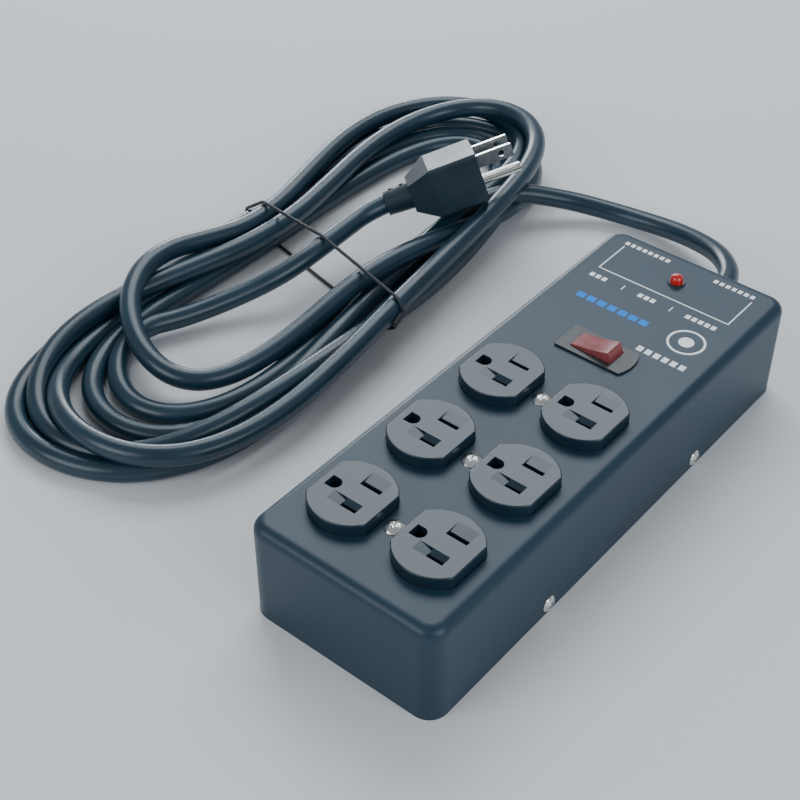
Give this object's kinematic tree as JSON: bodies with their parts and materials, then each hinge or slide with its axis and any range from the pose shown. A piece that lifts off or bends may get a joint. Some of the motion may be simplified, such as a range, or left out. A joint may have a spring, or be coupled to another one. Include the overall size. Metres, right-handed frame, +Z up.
{
  "type": "surge protector outlet box",
  "caption": "Metal-cased surge protector with duplex outlets, a lighted rocker breaker and an indicator lamp, and a heavy cord wound in a tied hank with a three-pin plug.",
  "frame": {"origin": "centre of the box's underside", "axes": "+X across the box, +Y along it towards the indicator lamp and the cord, +Z up through the outlets"},
  "size_m": [0.2811, 0.347, 0.0551],
  "materials": {
    "box_paint": "satin powder paint on steel",
    "zinc_steel": "zinc plated",
    "plated_screw": "bright plated",
    "face_plastic": "gloss moulding",
    "inner_plastic": "moulded thermoset",
    "contact_brass": "stamped sheet",
    "switch_plastic": "fine satin moulding",
    "red_plastic": "tinted translucent",
    "board_laminate": "glass laminate",
    "white_nylon": "nylon",
    "disc_coating": "dipped coating",
    "film_case": "moulded case",
    "choke_ferrite": "sintered ferrite",
    "fuse_metal": "bright",
    "cord_jacket": "smooth vinyl jacket",
    "relief_plastic": "flexible moulding",
    "tie_plastic": "plastic coated wire",
    "plug_moulding": "moulded vinyl",
    "plug_metal": "nickel plated brass",
    "wire_black": "insulation",
    "wire_white": "insulation",
    "wire_green": "insulation"
  },
  "bodies": {
    "housing": {"base_plate": "zinc_steel", "board_spacers": "white_nylon", "circuit_board": "board_laminate", "cord_hank": "cord_jacket", "cord_lead": "cord_jacket", "cord_tail": "cord_jacket", "cord_tie": "tie_plastic", "cover": "box_paint", "cover_screws": "plated_screw", "earth_screw": "plated_screw", "earth_terminal": "contact_brass", "filter_capacitor": "film_case", "filter_choke": "choke_ferrite", "indicator_collar": "switch_plastic", "indicator_lens": "red_plastic", "plug_body": "plug_moulding", "plug_ground_pin": "plug_metal", "plug_hot_blade": "plug_metal", "plug_neutral_blade": "plug_metal", "receptacle_1_body": "inner_plastic", "receptacle_1_face": "face_plastic", "receptacle_1_ground_contact": "contact_brass", "receptacle_1_hot_contact": "contact_brass", "receptacle_1_neutral_contact": "contact_brass", "receptacle_1_screw": "plated_screw", "receptacle_1_strap": "zinc_steel", "receptacle_2_body": "inner_plastic", "receptacle_2_face": "face_plastic", "receptacle_2_ground_contact": "contact_brass", "receptacle_2_hot_contact": "contact_brass", "receptacle_2_neutral_contact": "contact_brass", "receptacle_2_screw": "plated_screw", "receptacle_2_strap": "zinc_steel", "receptacle_3_body": "inner_plastic", "receptacle_3_face": "face_plastic", "receptacle_3_ground_contact": "contact_brass", "receptacle_3_hot_contact": "contact_brass", "receptacle_3_neutral_contact": "contact_brass", "receptacle_3_screw": "plated_screw", "receptacle_3_strap": "zinc_steel", "strain_relief": "relief_plastic", "surge_discs": "disc_coating", "switch_body": "switch_plastic", "switch_terminals": "contact_brass", "thermal_fuse": "fuse_metal", "wire_earth": "wire_green", "wire_line": "wire_black", "wire_neutral": "wire_white", "wire_switched": "wire_black"},
    "rocker": {"switch_rocker": "red_plastic"},
    "contact_arm": {"switch_contact_arm": "contact_brass"}
  },
  "joints": [
    {"name": "rocker_tilt", "type": "hinge", "parent": "housing", "child": "rocker", "pos_m": [-0.0007, 0.04, 0.0451], "axis": [0, 1, 0], "range_deg": [0, 24]},
    {"name": "contact_arm_tilt", "type": "hinge", "parent": "housing", "child": "contact_arm", "pos_m": [-0.0007, 0.04, 0.0341], "axis": [0, 1, 0], "range_deg": [-10, 0]}
  ],
  "couplings": [
    {"joint": "contact_arm_tilt", "follows": "rocker_tilt", "ratio": -0.41666}
  ]
}
